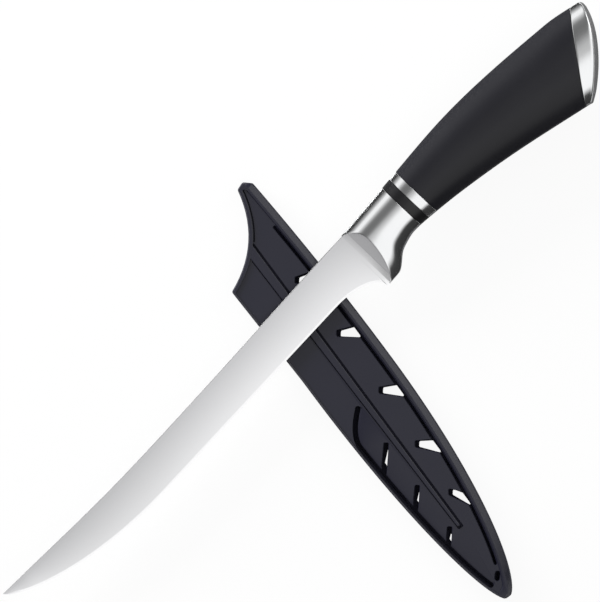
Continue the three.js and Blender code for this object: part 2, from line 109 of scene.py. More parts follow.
# Grip and end cap
GRIP_LENGTH = 84.6
GRIP_THICKNESS = 21
GRIP_SWELL_FROM_BUTT = 22
HUMP_RISE = 3.75
HUMP_FROM_COLLAR = 29
PALM_FLARE = 5.9
BUTT_FALL = 0.55
BUTT_DEPTH = 37.75
BUTT_THICKNESS = 20.2
SEAM_LEAN = 0.764
CAP_WALL = 3.2
CAP_LEAN = 0.829
CAP_BOW = 5.1
CAP_HALF_DEPTH = 16.5
CAP_ROUND = 1
CAP_SPINE_CORNER = 0.6
CAP_EDGE_CORNER = 0.8
CAP_CORNER_START = 0.8
CAP_CORNER_STOP = 1.05
CAP_RUN = 18
CAP_FALL = 4.05
CAP_FLARE = 4.2
SECTION_POWER = 2.56
SPINE_POWER_AT_CAP = 4
FALL_AT_NECK = 0.39
FALL_AT_PALM = 0.34
SPINE_FALL_AT_CAP = 0.23
EDGE_FALL_AT_CAP = 0.3
FALL_AT_GUARD = 0.33
GUARD_FALL_FROM = 6
FALL_MOST = 0.97
SIDE_START = 0.992
SIDE_SHARE = 0.2

# Tang and the bores for its fastening
TANG_WIDTH = 9
TANG_DEPTH_AT_SEAM = 19.1
STUD_DIAMETER = 5
STUD_RUN = 12
STUD_TAIL = 1.5
WASHER_DIAMETER = 11
WASHER_THICKNESS = 1
NUT_HEIGHT = 4
SPIGOT_DEPTH = 7

# Blade cover
SHEATH_WALL = 2.4
BLADE_ROOM = 1
BLADE_SIDE_ROOM = 2.1
EDGE_RAIL = 3.2
SPINE_RAIL = 1.8
EDGE_RIM = 3.5
SPINE_RIM = 1.05
THROAT_RIM = 2.2
EDGE_RIM_SLOPE = 1.1
SPINE_RIM_SLOPE = 0.3
THROAT_RIM_SLOPE = 0.45
RIM_STEEP_SHARE = 0.3
RIM_CHAMFER = 0.14
RIM_RECESS = 0.8
PANEL_FROM_TIP = 3.2
PANEL_FROM_HORN = 3.4
EDGE_BEVEL = 2.2
SPINE_BEVEL = 0.5
THROAT_BEVEL = 0.6
NOSE_BEVEL = 0.9
BEVEL_FULL_FROM_TIP = 14
BEVEL_HEIGHT = 1.5
BEVEL_BLEND = 0.3
BEVEL_START = 0.05
BEVEL_START_RISE = 0.05
BEVEL_CREST = 0.88
BEVEL_CREST_DROP = 0.14
HORN_SHORT = 3.6
HORN_WIDTH = 6
HORN_CHAMFER = 2.5
THROAT_BACK = 33.2
THROAT_SAG = 5.6
NOSE_SETBACK = 0.6
EDGE_SWELL_FROM_TIP = 105
EDGE_FULLNESS = 0.564
EDGE_TAPER = 3.8
SPINE_SWELL = 15
SPINE_SWELL_FROM_TIP = 120
SPINE_FULLNESS = 0.594
SPINE_FLARE = 1.7
RIB_WIDTH_AT_TIP = 1.35
RIB_WIDTH_AT_THROAT = 3.9
RIB_FROM_TIP = 35.2
RIB_FROM_HORN = 23.4
RIB_OFFSET_AT_TIP = -1.55
RIB_OFFSET_AT_THROAT = 0.5
RIB_END_SLANT = 1.2
RIB_CORNER = 0.5
RIB_SIDE_DRAFT = 0.12
RIB_TOP_INSET = 0.3
RIB_BELOW_RIM = 0.04
RIB_ROOT = 0.1
EDGE_GROOVE = 0.95
SPINE_GROOVE = 0.25
GROOVE_DEPTH = 1.25
GROOVE_SHORT = 1.6
THROAT_GROOVE = 0.55
THROAT_GROOVE_STEPS = 8
EDGE_SLOT_WIDTH = 1.2
EDGE_SLOT_INSET = 4.35
EDGE_SLOT_FROM_TIP = 13
EDGE_SLOT_FROM_HORN = 22.3
SPINE_SLOT_WIDTH = 2.26
SPINE_SLOT_INSET = 2.25
SPINE_SLOT_FROM_TIP = 7.7
SPINE_SLOT_SLOPE = 1.05
SPINE_SLOT_DROP = 0.35
SPINE_LEDGE = 0.6
BEND_START = 84.5
BEND_CORNER = 90.5
BEND_END = 97.9
BEND_REACH = 3.4
VENTS_FROM_TIP = (48.9, 72.6, 98.8, 127.5, 154.9)
VENT_REACH = 12.4
VENT_INNER_LIMIT = -5.6
VENT_LEAN_AT_TIP = 7.3
VENT_LEAN_AT_THROAT = 3.9
VENT_MOUTH_AT_TIP = 7.8
VENT_MOUTH_AT_THROAT = 5.3
VENT_MOUTH_INSET = 4.1
VENT_END = 2.1
VENT_END_SLANT = 1.5
VENT_DRAFT = 0.8
VENT_ROUND = 0.6
SLIT_COUNT = 3
SLIT_FROM_TIP = 37.3
SLIT_PITCH = 21.3
SLIT_RUN = 5.6
SLIT_RUN_STEP = 1.9
SLIT_REACH = 3.05
SLIT_SPINE_ROOM = 7.8
SLIT_WIDTH = 1.2
SLIT_END_SLANT = 1.55
SLIT_MOUTH = 3.4
SLIT_MOUTH_INSET = 3
BACK_SLIT_SHIFT = 2.2
BACK_SLIT_RISE = 0.9
BACK_SLIT_LEAN = 0.85
BACK_SLIT_LEAST = 1.6
BACK_SLIT_INSETS = (4.7, 5.75, 5.75)
BACK_SLIT_MOUTH = 2.4
DRAIN_LENGTH = 4
DRAIN_WIDTH = 2
DRAIN_FROM_TIP = 9.8
DRAIN_OFFSET = -2.1
DRAIN_LEAN = 1.11
LIP = 0.2
PARTING_CHAMFER = 0.15
SHEATH_CORNER = 1.4
RIM_CORNER = 0.3
PANEL_CORNER = 0.9
COVER_INSIDE = 7.9

# How the knife lies on the cover
CROSS_FROM_BOLSTER = 36.7
CROSS_FROM_SHEATH_TIP = 151.1
CROSS_ANGLE = math.radians(-100.05)

# Clearances and working allowances
FIT_GAP = 0.3
SEAM_GAP = 0.05
CUT_MARGIN = 10
SLOPE_STEP = 0.05
LEAN_PASSES = 12
SHARP_TURN = math.radians(25)
CORNER_ROOM = 2.1
MITRE_LEAST = 0.5
HALVINGS = 40

# Mesh density
RING_POINTS = 160
ROUND_STEPS = 3
BORE_POINTS = 48
GRIND_POINTS = 12
HEEL_SPANS = 3
LEAF_STEPS = 70
LEAF_CROWDING = 1.3
THROAT_STEPS = 14
END_STEPS = 8
CORNER_STEPS = 4
BELLY_STATIONS = 48
WAIST_STATIONS = 24
SWEEP_STATIONS = 30
HEEL_STATIONS = 12
BOLSTER_STATIONS = 26
BAND_STATIONS = 4
GRIP_STATIONS = 60
CAP_STATIONS = 10
CAP_ROUND_STEPS = 6

# Creases, as the degrees from which an edge stays sharp
BLADE_CREASE = 8
HANDLE_CREASE = 60
COVER_CREASE = 22

# Colours
WHITE = (1, 1, 1, 1)
BLACK = (0, 0, 0, 1)
# Blade steel is painted darker at the spine and lighter at the edge, as painted shade and highlight.
STEEL_SHADED_AT_SPINE = (0.68, 0.68, 0.695, 1)
STEEL_LIT_AT_EDGE = (0.88, 0.88, 0.89, 1)
# The honed edge bevel is painted lighter, as a painted highlight.
HONED_HIGHLIGHT_STEEL = (0.88, 0.88, 0.885, 1)
GLEAM_SHARE = 0.08
# The plunge facet is painted darker at the spine and lighter at the edge, as painted shade and highlight.
PLUNGE_SHADED_AT_SPINE = (0.70, 0.70, 0.715, 1)
PLUNGE_LIT_AT_EDGE = (0.95, 0.95, 0.96, 1)
UNGROUND_STEEL = (0.60, 0.60, 0.615, 1)
POLISH_LOW = (0.80, 0.81, 0.82, 1)
POLISH_HIGH = (0.86, 0.865, 0.87, 1)
# Upright sides of polished steel are painted darker, as painted shade.
SHADED_UPRIGHT_STEEL = (0.3, 0.3, 0.305, 1)
POLISH_EDGE_TINT = (0.3, 0.3, 0.3, 1)
ZINC_LOW = (0.55, 0.56, 0.58, 1)
ZINC_HIGH = (0.68, 0.69, 0.71, 1)
SPACER_BLACK = (0.006, 0.006, 0.007, 1)
GRIP_BLACK = (0.0135, 0.0135, 0.017, 1)
COVER_BLACK = (0.009, 0.009, 0.02, 1)
PLASTIC_BLOOM = (0.4, 0.4, 0.4, 1)
BLOOM_SHARE = 0.01
FLOOR_LOW = (0.90, 0.90, 0.90, 1)
FLOOR_HIGH = (0.92, 0.92, 0.92, 1)

# Derived lengths
COLLAR_BACK = -(BOLSTER_LENGTH + SPACER_LENGTH + COLLAR_LENGTH)
SEAM_X = COLLAR_BACK - GRIP_LENGTH
NECK_LOW = NECK_DEPTH - NECK_RISE
GUARD_LENGTH = BOLSTER_LENGTH - NECK_FLAT
HEEL_ALONG = BLADE_LENGTH - HEEL_FROM_BOLSTER
SWEEP_ALONG = HEEL_ALONG - HEEL_SWEEP
SHEATH_SLOT = BLADE_THICKNESS + 2 * BLADE_ROOM
SHEATH_THICKNESS = 2 * SHEATH_WALL + SHEATH_SLOT
SHEATH_SPLIT = SHEATH_THICKNESS / 2
SHEATH_LENGTH = BLADE_LENGTH - HORN_SHORT
SHEATH_SPAN = HEEL_DEPTH + SPINE_RISE_AT_BOLSTER + BLADE_SIDE_ROOM + EDGE_RAIL + SPINE_RAIL
EDGE_SWELL = SHEATH_SPAN - SPINE_SWELL
PANEL_HEIGHT = SHEATH_THICKNESS - RIM_RECESS

# Camera, by the photograph's frame
PHOTO_WIDTH = 600
PHOTO_HEIGHT = 602
MM_PER_PIXEL = 0.40534
TIP_PIXEL = (2.82, 593.94)
VIEW_TURN = math.radians(226.5)
VIEW_TILT = math.radians(6)
CAMERA_DISTANCE = 8
CAMERA_REACH = 20
SENSOR = 36

# Floor and lamps, in metres
FLOOR_HALF = 3
FLOOR_DROP = 0.0001
FLOOR_ROUGHNESS = 0.9
FLOOR_WHITENESS = 0.92
FLOOR_IN_MIRRORS = 0.2
SIDE_BOX = {"place": (-0.95, 0.1, 0.48), "size": (0.7, 0.7), "power": 2.6}
SPINE_FILL = {"place": (0, -1.5, 0.42), "size": (1.2, 0.5), "power": 44}


# Lines and small maths

def steps(start, stop, count):
    return [start + (stop - start) * i / count for i in range(count + 1)]


def between(low, high, share):
    return low + (high - low) * share


def eased(value, low, high):
    share = min(max((value - low) / (high - low), 0), 1)
    return share * share * (3 - 2 * share)


def smooth_line(places):
    """A smooth line through given places that never overshoots them."""
    spots = sorted(places)
    slopes = [(b[1] - a[1]) / (b[0] - a[0]) for a, b in zip(spots, spots[1:])]
    tangents = [slopes[0]]
    for before, after in zip(slopes, slopes[1:]):
        product = before * after
        tangents.append(2 * product / (before + after) if product > 0 else 0)
    tangents.append(slopes[-1])

    def height(x):
        i = 0
        while i < len(slopes) - 1 and x > spots[i + 1][0]:
            i += 1
        span = spots[i + 1][0] - spots[i][0]
        u = (x - spots[i][0]) / span
        level = between(spots[i][1], spots[i + 1][1], (3 - 2 * u) * u * u)
        leave = tangents[i] * u * (1 - u) * (1 - u) * span
        arrive = tangents[i + 1] * u * u * (u - 1) * span
        return level + leave + arrive

    return height


# Meshes

def new_piece(name, points, faces):
    """An object in millimetres from points and faces, with its faces turned outwards."""
    mesh = bpy.data.meshes.new(name)
    mesh.from_pydata([tuple(p) for p in points], [], faces)
    work = bmesh.new()
    work.from_mesh(mesh)
    bmesh.ops.recalc_face_normals(work, faces=work.faces)
    work.to_mesh(mesh)
    work.free()
    piece = bpy.data.objects.new(name, mesh)
    bpy.context.scene.collection.objects.link(piece)
    return piece


def wall_faces(rows, count):
    """The faces between rows of points, where each row is a closed ring of the given count."""
    faces = []
    for row in range(rows - 1):
        for j in range(count):
            here = row * count + j
            beside = row * count + (j + 1) % count
            faces.append((here, beside, beside + count, here + count))
    return faces


def lofted(name, rings):
    """A closed skin over rings of equal count. Each ring's second half mirrors its first, back to front."""
    count = len(rings[0])
    points = [point for ring in rings for point in ring]
    faces = wall_faces(len(rings), count)
    last = (len(rings) - 1) * count
    for start in (0, last):
        for j in range(count // 2 - 1):
            faces.append((start + j, start + j + 1, start + count - 2 - j, start + count - 1 - j))
    return new_piece(name, points, faces)


def stacked(name, outlines):
    """A closed solid from the same outline at rising heights."""
    count = len(outlines[0][0])
    points = [(p.x, p.y, z) for outline, z in outlines for p in outline]
    faces = wall_faces(len(outlines), count)
    last = (len(outlines) - 1) * count
    faces.append(tuple(range(count)))
    faces.append(tuple(range(last, last + count)))
    return new_piece(name, points, faces)


def combined(target, other, operation):
    """Joins or cuts target with other, and removes other."""
    change = target.modifiers.new(operation, "BOOLEAN")
    change.operation = operation
    change.object = other
    change.solver = "EXACT"
    shaped = target.evaluated_get(bpy.context.evaluated_depsgraph_get())
    mesh = bpy.data.meshes.new_from_object(shaped)
    plain = target.data
    target.modifiers.remove(change)
    target.data = mesh
    mesh.name = target.name
    bpy.data.meshes.remove(plain)
    bpy.data.objects.remove(other)
    return target


def cut(target, *cutters):
    for cutter in cutters:
        combined(target, cutter, "DIFFERENCE")
    return target


def joined(target, other):
    return combined(target, other, "UNION")


def bar(start, stop, width, height):
    corners = [Vector((x, y)) for x, y in ((start, -1), (stop, -1), (stop, 1), (start, 1))]
    outline = [Vector((c.x, c.y * width / 2)) for c in corners]
    return stacked("bar", [(outline, -height / 2), (outline, height / 2)])


def rod(diameter, start, stop):
    ring = [2 * math.pi * (i + 0.5) / BORE_POINTS for i in range(BORE_POINTS)]
    circle = [(math.cos(a) * diameter / 2, math.sin(a) * diameter / 2) for a in ring]
    return lofted("rod", [[Vector((x, y, z)) for y, z in circle] for x in (start, stop)])


def on_centre_line(piece):
    """Places a solid made along +X on the handle's centre line, which runs back from the bolster."""
    turn = Matrix.Rotation(TANG_ANGLE, 4, "Z")
    piece.data.transform(Matrix.Translation((NECK_CENTRE.x, NECK_CENTRE.y, 0)) @ turn)
    return piece


# Handle form: oval sections between a spine line and a lower line

handle_top = smooth_line([
    (HEEL_FROM_BOLSTER, -SPINE_RISE_AT_BOLSTER),
    (-BOLSTER_LENGTH, -NECK_RISE),
    (COLLAR_BACK - HUMP_FROM_COLLAR, -HUMP_RISE),
    (SEAM_X, BUTT_FALL),
    (SEAM_X - CAP_RUN, BUTT_FALL + CAP_FALL),
])
handle_low = smooth_line([
    (HEEL_FROM_BOLSTER, HEEL_DEPTH),
    (-GUARD_TIP, HEEL_DEPTH - GUARD_ROUND),
    (-GUARD_WAIST, NECK_LOW + GUARD_HOLLOW),
    (-GUARD_LENGTH, NECK_LOW),
    (COLLAR_BACK, NECK_LOW + COLLAR_FLARE),
    (COLLAR_BACK - HUMP_FROM_COLLAR, NECK_LOW + PALM_FLARE),
    (SEAM_X, BUTT_FALL + BUTT_DEPTH),
    (SEAM_X - CAP_RUN, BUTT_FALL + BUTT_DEPTH + CAP_FLARE),
])
handle_half = smooth_line([
    (HEEL_FROM_BOLSTER, BOLSTER_TIP_THICKNESS / 2),
    (-SCOOP_DEPTH / 2, BOLSTER_FRONT_THICKNESS / 2),
    (-BOLSTER_LENGTH, BOLSTER_BACK_THICKNESS / 2),
    (SEAM_X + GRIP_SWELL_FROM_BUTT, GRIP_THICKNESS / 2),
    (SEAM_X - CAP_WALL, BUTT_THICKNESS / 2),
])


def section_falls(at_guard, at_cap):
    """How far one side of the section falls away, as a share of its reach, along the handle."""
    return smooth_line([
        (HEEL_FROM_BOLSTER, at_guard),
        (-GUARD_FALL_FROM, at_guard),
        (-GUARD_WAIST, FALL_AT_NECK),
        (-BOLSTER_LENGTH, FALL_AT_NECK),
        (COLLAR_BACK - HUMP_FROM_COLLAR, FALL_AT_PALM),
        (SEAM_X - CAP_RUN, at_cap),
    ])


def section_powers(at_cap):
    """How late one side of the section falls away, along the handle."""
    return smooth_line([
        (HEEL_FROM_BOLSTER, SECTION_POWER),
        (SEAM_X + GRIP_SWELL_FROM_BUTT, SECTION_POWER),
        (SEAM_X - CAP_RUN, at_cap),
    ])


section_sides = {
    "spine": (section_falls(FALL_AT_NECK, SPINE_FALL_AT_CAP), section_powers(SPINE_POWER_AT_CAP)),
    "edge": (section_falls(FALL_AT_GUARD, EDGE_FALL_AT_CAP), section_powers(SECTION_POWER)),
}


def mid_height(x):
    return (handle_top(x) + handle_low(x)) / 2


NECK_CENTRE = Vector((-BOLSTER_LENGTH, mid_height(-BOLSTER_LENGTH)))
SEAM_CENTRE = Vector((SEAM_X, TANG_DEPTH_AT_SEAM))
TANG_LINE = SEAM_CENTRE - NECK_CENTRE
TANG_ANGLE = math.atan2(TANG_LINE.y, TANG_LINE.x)
SEAM_ALONG = TANG_LINE.length
SEAT_ALONG = SEAM_ALONG - SPIGOT_DEPTH - FIT_GAP - STUD_TAIL - NUT_HEIGHT - WASHER_THICKNESS
TANG_END = SEAT_ALONG - STUD_RUN
COUNTERBORE = WASHER_DIAMETER + 2 * FIT_GAP
RING_ANGLES = [2 * math.pi * (i + 0.5) / RING_POINTS for i in range(RING_POINTS)]


def centre_line(x):
    return NECK_CENTRE.y + (x - NECK_CENTRE.x) * TANG_LINE.y / TANG_LINE.x


def section(angle, fall, power):
    """A point of the handle's section in half depths and half thicknesses: an arch on an upright side."""
    fold = math.atan2(abs(math.sin(angle)), abs(math.cos(angle))) / (math.pi / 2)
    if fold < SIDE_SHARE:
        rise = fold / SIDE_SHARE
        out = 1 - (1 - SIDE_START) * rise * rise
        up = (1 - fall * SIDE_START ** power) * rise
    else:
        out = SIDE_START * math.cos((fold - SIDE_SHARE) / (1 - SIDE_SHARE) * math.pi / 2)
        up = 1 - fall * out ** power
    return math.copysign(out, math.cos(angle)), math.copysign(up, math.sin(angle))


def handle_point(x, angle):
    crown = mid_height(min(x, -BOLSTER_LENGTH))
    side = "edge" if math.cos(angle) > 0 else "spine"
    reach = handle_low(x) - crown if side == "edge" else crown - handle_top(x)
    half = handle_half(x)
    fall, power = section_sides[side]
    out, up = section(angle, min(fall(x) * reach / half, FALL_MOST), power(x))
    return Vector((x, crown + reach * out, half * up))


def handle_ring(x, lean=0, bow=0):
    """A ring across the centre line at x that leans forward on the edge side and bows back in the middle."""
    ring = []
    for angle in RING_ANGLES:
        point = handle_point(x, angle)
        for _ in range(LEAN_PASSES if lean else 0):
            aside = point.y - centre_line(x)
            share = abs(aside) / CAP_HALF_DEPTH
            corner = CAP_SPINE_CORNER if aside < 0 else CAP_EDGE_CORNER
            corner = corner * eased(share, CAP_CORNER_START, CAP_CORNER_STOP)
            back = bow * (1 - share * share) - corner * bow / CAP_BOW
            point = handle_point(x + lean * aside - back, angle)
        ring.append(point)
    return ring


def drawn_in(ring, amount):
    centre = sum(ring, Vector()) / len(ring)
    return [p + (centre - p).normalized() * amount for p in ring]


def end_rings(x, lean, inward):
    """The rings of a small round at an end of a band, from its face inwards: 1 is forwards, -1 is back."""
    rings = []
    for turn in steps(0, math.pi / 2, ROUND_STEPS)[:-1]:
        along = SEAM_ROUND * (1 - math.cos(turn))
        inset = SEAM_ROUND * (1 - math.sin(turn))
        rings.append(drawn_in(handle_ring(x + inward * along, lean), inset))
    return rings


def band_rings(front, back, front_lean=0, back_lean=0, count=BAND_STATIONS, back_bow=0):
    """Rings from front to back along the handle, with a small round at each end."""
    length = front - back
    rings = end_rings(front, front_lean, -1)
    for share in steps(SEAM_ROUND / length, 1 - SEAM_ROUND / length, count):
        lean = between(front_lean, back_lean, share * share)
        rings.append(handle_ring(front - length * share, lean, back_bow * share))
    return rings + end_rings(back, back_lean, 1)[::-1]


# Front of the bolster: a scoop that bends back between the spine and the heel

def scoop_x(y):
    half = SCOOP_LOW + SPINE_RISE_AT_BOLSTER if y < SCOOP_LOW else HEEL_DEPTH - SCOOP_LOW
    out = min(abs(y - SCOOP_LOW) / half, 1)
    return SCOOP_FRONT - SCOOP_DEPTH * (1 - out * out) ** SCOOP_FULLNESS


def scoop_front(angle):
    """Where the handle's surface meets the scoop, along one line of the surface."""
    low, high = -BOLSTER_LENGTH, HEEL_FROM_BOLSTER
    for _ in range(HALVINGS):
        middle = (low + high) / 2
        if middle < scoop_x(handle_point(middle, angle).y):
            low = middle
        else:
            high = middle
    return low


# Blade

blade_spine = smooth_line([
    (0, -TIP_RISE),
    (SPINE_DIP_FROM_TIP, SPINE_DIP),
    (BLADE_LENGTH, -SPINE_RISE_AT_BOLSTER),
])


def blade_edge(from_tip):
    if from_tip < BELLY_LENGTH:
        back = (BELLY_LENGTH - from_tip) / BELLY_LENGTH
        return -TIP_RISE + (BELLY_DEPTH + TIP_RISE) * (1 - back * back) ** BELLY_FULLNESS
    if from_tip < SWEEP_ALONG:
        return between(BELLY_DEPTH, WAIST_DEPTH, (from_tip - BELLY_LENGTH) / (SWEEP_ALONG - BELLY_LENGTH))
    along = min((from_tip - SWEEP_ALONG) / HEEL_SWEEP, 1)
    return WAIST_DEPTH + (HEEL_DEPTH - WAIST_DEPTH) * (1 - math.sqrt(1 - along * along))


def blade_side(from_tip, place, bevel_share=1):
    """One side of the blade's section from the edge to the spine, as points at place(y)."""
    spine = blade_spine(min(from_tip, BLADE_LENGTH))
    edge = blade_edge(from_tip)
    depth = edge - spine
    at_edge = EDGE_THICKNESS / 2
    at_spine = between(TIP_THICKNESS, BLADE_THICKNESS, min(from_tip / BLADE_LENGTH, 1)) / 2
    at_spine = min(at_spine, at_edge + FACE_SLOPE * depth)
    at_shoulder = min(BEVEL_SHOULDER / 2, between(at_edge, at_spine, SHOULDER_SHARE))
    slope = (edge - blade_edge(max(from_tip - SLOPE_STEP, 0))) / SLOPE_STEP
    bevel = min(BEVEL_WIDTH * math.hypot(1, slope), BEVEL_MOST, depth * SMALL_SHARE) * bevel_share
    corner = min(SPINE_ROUND, depth * SMALL_SHARE, at_spine / 2)
    rows = [(edge, at_edge), (edge - bevel, at_shoulder)]
    shoulder = rows[-1]
    for share in steps(0, 1, GRIND_POINTS)[1:]:
        rise = share * (1 + GRIND_CONVEXITY) - GRIND_CONVEXITY * share * share
        rows.append((between(shoulder[0], spine + corner, share), between(shoulder[1], at_spine, rise)))
    for turn in steps(0, math.pi / 2, ROUND_STEPS)[1:]:
        rows.append((spine + corner * (1 - math.sin(turn)), at_spine - corner * (1 - math.cos(turn))))
    side = []
    for y, half in rows:
        x = place(y)
        unground = min(max((PLUNGE_START - x) / (PLUNGE_START - PLUNGE_END), 0), 1)
        lifted = between(half, max(at_spine, half), unground) if y > spine + corner else half
        side.append(Vector((x, y, lifted)))
    return side


def heel_place(y, share):
    """Where a line across the heel lies at y, from the heel's end by the plunge's two lines to the scoop."""
    front = scoop_x(y) + SEAM_GAP
    plunge_start = max(PLUNGE_START, front + 2 * SEAM_GAP)
    plunge_end = max(PLUNGE_END, front + SEAM_GAP)
    stops = [HEEL_FROM_BOLSTER, plunge_start, plunge_end, front]
    i = min(int(share * HEEL_SPANS), HEEL_SPANS - 1)
    return between(stops[i], stops[i + 1], share * HEEL_SPANS - i)


def make_blade():
    stations = [BELLY_LENGTH * u * u for u in steps(0, 1, BELLY_STATIONS)[1:]]
    stations += steps(BELLY_LENGTH, SWEEP_ALONG, WAIST_STATIONS)[1:]
    turns = steps(0, math.pi / 2, SWEEP_STATIONS)[1:]
    stations += [SWEEP_ALONG + HEEL_SWEEP * math.sin(turn) for turn in turns]
    sides = [blade_side(s, lambda y, s=s: BLADE_LENGTH - s) for s in stations]
    for share in steps(0, 1, HEEL_STATIONS)[1:]:
        run_out = max(1 - HEEL_SPANS * share, BEVEL_LEAST)
        sides.append(blade_side(HEEL_ALONG, lambda y, u=share: heel_place(y, u), run_out))
    tip = Vector((BLADE_LENGTH, -TIP_RISE, 0))
    point = [tip.lerp(p, TIP_RING) for p in sides[0]]
    rings = [side + [Vector((p.x, p.y, -p.z)) for p in reversed(side)] for side in [point, *sides]]
    blade = lofted("blade_dressed", rings)
    tang = on_centre_line(bar(-BOLSTER_LENGTH, TANG_END, TANG_WIDTH, BLADE_THICKNESS))
    return joined(blade, tang)


# Handle pieces

def tang_channel():
    room = 2 * FIT_GAP
    start = -BOLSTER_LENGTH - CUT_MARGIN
    channel = bar(start, TANG_END + FIT_GAP, TANG_WIDTH + room, BLADE_THICKNESS + room)
    return on_centre_line(channel)


def make_bolster():
    fronts = [scoop_front(angle) for angle in RING_ANGLES]
    rings = []
    for turn in steps(0, math.pi / 2, ROUND_STEPS):
        ring = []
        for angle, front in zip(RING_ANGLES, fronts):
            point = handle_point(front - BOLSTER_ROUND * (1 - math.cos(turn)), angle)
            drop = min(BOLSTER_ROUND, abs(point.z) / 2) * (1 - math.sin(turn))
            point.z -= math.copysign(drop, point.z)
            ring.append(point)
        rings.append(ring)
    back = -BOLSTER_LENGTH + SEAM_ROUND
    for share in steps(0, 1, BOLSTER_STATIONS)[1:]:
        rings.append([handle_point(between(front - BOLSTER_ROUND, back, share), angle)
                      for angle, front in zip(RING_ANGLES, fronts)])
    rings += end_rings(-BOLSTER_LENGTH, 0, 1)[::-1]
    return cut(lofted("bolster_dressed", rings), tang_channel())


def make_band(name, front, length):
    return cut(lofted(name, band_rings(front - SEAM_GAP, front - length)), tang_channel())


def make_grip():
    rings = band_rings(COLLAR_BACK - SEAM_GAP, SEAM_X, 0, SEAM_LEAN, GRIP_STATIONS)
    grip = lofted("grip_dressed", rings)
    stud_bore = rod(STUD_DIAMETER + 2 * FIT_GAP, TANG_END - FIT_GAP, SEAT_ALONG + FIT_GAP)
    nut_bore = rod(COUNTERBORE, SEAT_ALONG, SEAM_ALONG + COUNTERBORE)
    return cut(grip, tang_channel(), on_centre_line(stud_bore), on_centre_line(nut_bore))


def make_end_cap():
    seam = SEAM_X - SEAM_GAP * math.hypot(1, SEAM_LEAN)
    rim_x = SEAM_X - CAP_WALL
    rings = band_rings(seam, rim_x, SEAM_LEAN, CAP_LEAN, CAP_STATIONS, CAP_BOW)[:-ROUND_STEPS]
    rim = handle_ring(rim_x, CAP_LEAN, CAP_BOW)
    outward = Vector((-1, CAP_LEAN, 0)).normalized()
    for turn in steps(0, math.pi / 2, CAP_ROUND_STEPS)[1:]:
        inset = CAP_ROUND * (1 - math.cos(turn))
        rise = CAP_ROUND * math.sin(turn)
        rings.append([p + outward * rise for p in drawn_in(rim, inset)])
    spigot = rod(COUNTERBORE - 2 * FIT_GAP, SEAM_ALONG - SPIGOT_DEPTH, SEAM_ALONG + CAP_WALL / 2)
    return joined(lofted("end_cap_dressed", rings), on_centre_line(spigot))


# Blade cover, in its own frame: x from the tip to the throat, y towards the spine side, z up from its back

def leaf_reach(along, swell, swell_at, fullness):
    back = max((swell_at - along) / swell_at, 0)
    return swell * max(1 - back * back, 0) ** fullness


def edge_side(along):
    past = max(along - EDGE_SWELL_FROM_TIP, 0) / (SHEATH_LENGTH - EDGE_SWELL_FROM_TIP)
    return -leaf_reach(along, EDGE_SWELL, EDGE_SWELL_FROM_TIP, EDGE_FULLNESS) + EDGE_TAPER * past * past


def spine_side(along):
    past = max(along - SPINE_SWELL_FROM_TIP, 0) / (SHEATH_LENGTH - THROAT_BACK - SPINE_SWELL_FROM_TIP)
    return leaf_reach(along, SPINE_SWELL, SPINE_SWELL_FROM_TIP, SPINE_FULLNESS) + SPINE_FLARE * past


def side_line(side, start, stop, inset=0.0):
    """Points along one side, set in from the outline and close together round the tip."""
    inward = 1 if side is edge_side else -1
    line = []
    for share in steps(0, 1, LEAF_STEPS):
        along = between(start, stop, share ** LEAF_CROWDING)
        slope = (side(along + SLOPE_STEP) - side(along)) / SLOPE_STEP
        normal = Vector((-slope, 1)).normalized() * inward * inset
        line.append(Vector((along, side(along))) + normal)
    return line


def throat_line(inset):
    horn = Vector((SHEATH_LENGTH - HORN_CHAMFER / 2, edge_side(SHEATH_LENGTH) + HORN_WIDTH))
    corner = Vector((SHEATH_LENGTH - THROAT_BACK, spine_side(SHEATH_LENGTH - THROAT_BACK)))
    chord = corner - horn
    into = -Vector((chord.y, -chord.x)).normalized()
    line = []
    for share in steps(0, 1, THROAT_STEPS):
        sag = 4 * THROAT_SAG * share * (1 - share)
        line.append(horn + chord * share + into * (sag + inset))
    return line


def corner_turn(points, i):
    before = points[i] - points[i - 1]
    after = points[(i + 1) % len(points)] - points[i]
    return before.angle(after)


def rounded(points, radius, like=None):
    """The outline with its sharp corners rounded: those that are sharp in the outline it was made from."""
    made = []
    for i, corner in enumerate(points):
        if corner_turn(like or points, i) < SHARP_TURN:
            made.append(corner)
            continue
        before = points[i - 1] - corner
        after = points[(i + 1) % len(points)] - corner
        turn = corner_turn(points, i)
        reach = min(radius * math.tan(turn / 2), before.length / CORNER_ROOM, after.length / CORNER_ROOM)
        start = corner + before.normalized() * reach
        stop = corner + after.normalized() * reach
        for u in steps(0, 1, CORNER_STEPS):
            made.append(start.lerp(corner, u).lerp(corner.lerp(stop, u), u))
    return made


def offset(points, amounts):
    """The outline moved outwards, each corner by its own distance."""
    area = sum(a.x * b.y - a.y * b.x for a, b in zip(points, points[1:] + points[:1]))
    turn = 1 if area > 0 else -1
    moved = []
    for i, point in enumerate(points):
        before = (point - points[i - 1]).normalized()
        after = (points[(i + 1) % len(points)] - point).normalized()
        bisector = Vector((before.y + after.y, -before.x - after.x)).normalized() * turn
        square = max(abs(bisector.x * after.y - bisector.y * after.x), MITRE_LEAST)
        moved.append(point + bisector * (amounts[i] / square))
    return moved


def grown(points, amount):
    return offset(points, [amount] * len(points))


def swept(line, right, left):
    """An outline along a line, with its own reach on each side and round ends."""
    outline = []
    for path, reach, other in ((line, right, left), (line[::-1], left, right)):
        for i, point in enumerate(path):
            run = (path[min(i + 1, len(path) - 1)] - path[max(i - 1, 0)]).normalized()
            outline.append(point + Vector((run.y, -run.x)) * reach)
        ahead = min(reach, other)
        for turn in steps(-math.pi / 2, math.pi / 2, END_STEPS)[1:-1]:
            aside = (other if turn > 0 else reach) * math.sin(turn)
            outline.append(point + run * ahead * math.cos(turn) + Vector((-run.y, run.x)) * aside)
    return outline


def near_nose(full, along):
    return between(min(NOSE_BEVEL, full), full, eased(along, 0, BEVEL_FULL_FROM_TIP))


